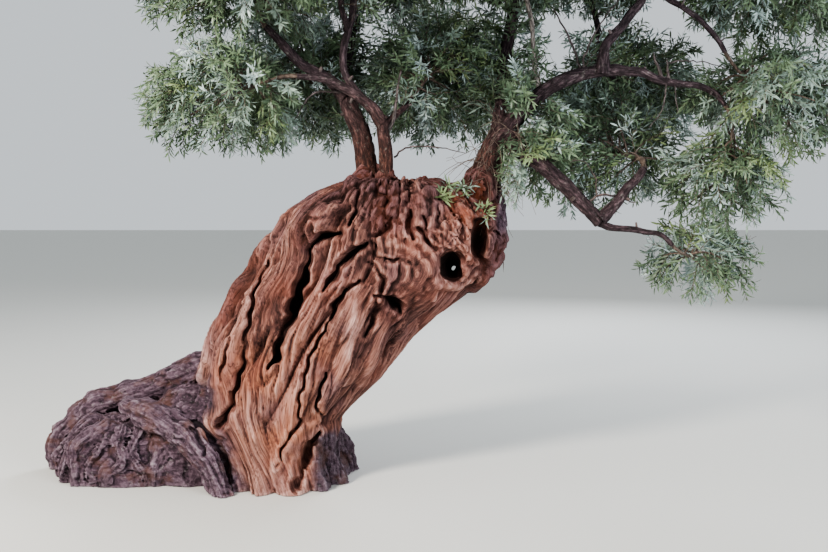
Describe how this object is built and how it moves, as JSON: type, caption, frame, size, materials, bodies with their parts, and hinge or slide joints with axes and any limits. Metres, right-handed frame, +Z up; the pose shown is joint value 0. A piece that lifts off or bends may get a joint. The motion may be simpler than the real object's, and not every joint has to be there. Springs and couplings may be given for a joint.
{
  "type": "olive tree",
  "caption": "Ancient leaning olive tree: fluted, hollowed trunk with a knotted head and spreading roots, dark crooked boughs and open masses of narrow leaves",
  "frame": {"origin": "on the flat cut under the trunk, at ground level, below the middle of the trunk's foot", "axes": "+Z up, +X the way the trunk leans, seen from the front, and +Y away from the viewer"},
  "size_m": [4.9572, 3.1685, 4.4187],
  "materials": {
    "trunk_wood": "weathered, fissured grey-brown wood with red-brown tones",
    "bough_bark": "rough dark purple-brown bark",
    "foliage": "leathery leaves, grey-green above and silvery below"
  },
  "bodies": {
    "root": {"arched_bough": "bough_bark", "arched_bough_end": "bough_bark", "back_bough": "bough_bark", "back_left_bough": "bough_bark", "back_right_bough": "bough_bark", "crossing_bough": "bough_bark", "drooping_bough": "bough_bark", "drooping_bough_end": "bough_bark", "elbow_bough": "bough_bark", "far_right_bough": "bough_bark", "foliage_back": "foliage", "foliage_back_high_left": "foliage", "foliage_back_high_right": "foliage", "foliage_back_right": "foliage", "foliage_far_right": "foliage", "foliage_front_left": "foliage", "foliage_front_right": "foliage", "foliage_left": "foliage", "foliage_left_back": "foliage", "foliage_left_low": "foliage", "foliage_left_top": "foliage", "foliage_middle": "foliage", "foliage_middle_high": "foliage", "foliage_right": "foliage", "foliage_right_drooping": "foliage", "foliage_right_low": "foliage", "foliage_right_top": "foliage", "foliage_top": "foliage", "foliage_under_arch": "foliage", "front_left_bough": "bough_bark", "front_right_bough": "bough_bark", "front_stem": "bough_bark", "high_back_left_bough": "bough_bark", "high_back_right_bough": "bough_bark", "leader_bough": "bough_bark", "left_bough": "bough_bark", "left_stem": "bough_bark", "overhanging_bough": "bough_bark", "pale_shoot": "bough_bark", "right_stem": "bough_bark", "rising_bough": "bough_bark", "side_bough": "bough_bark", "trunk": "trunk_wood", "upright_bough": "bough_bark"}
  },
  "joints": []
}
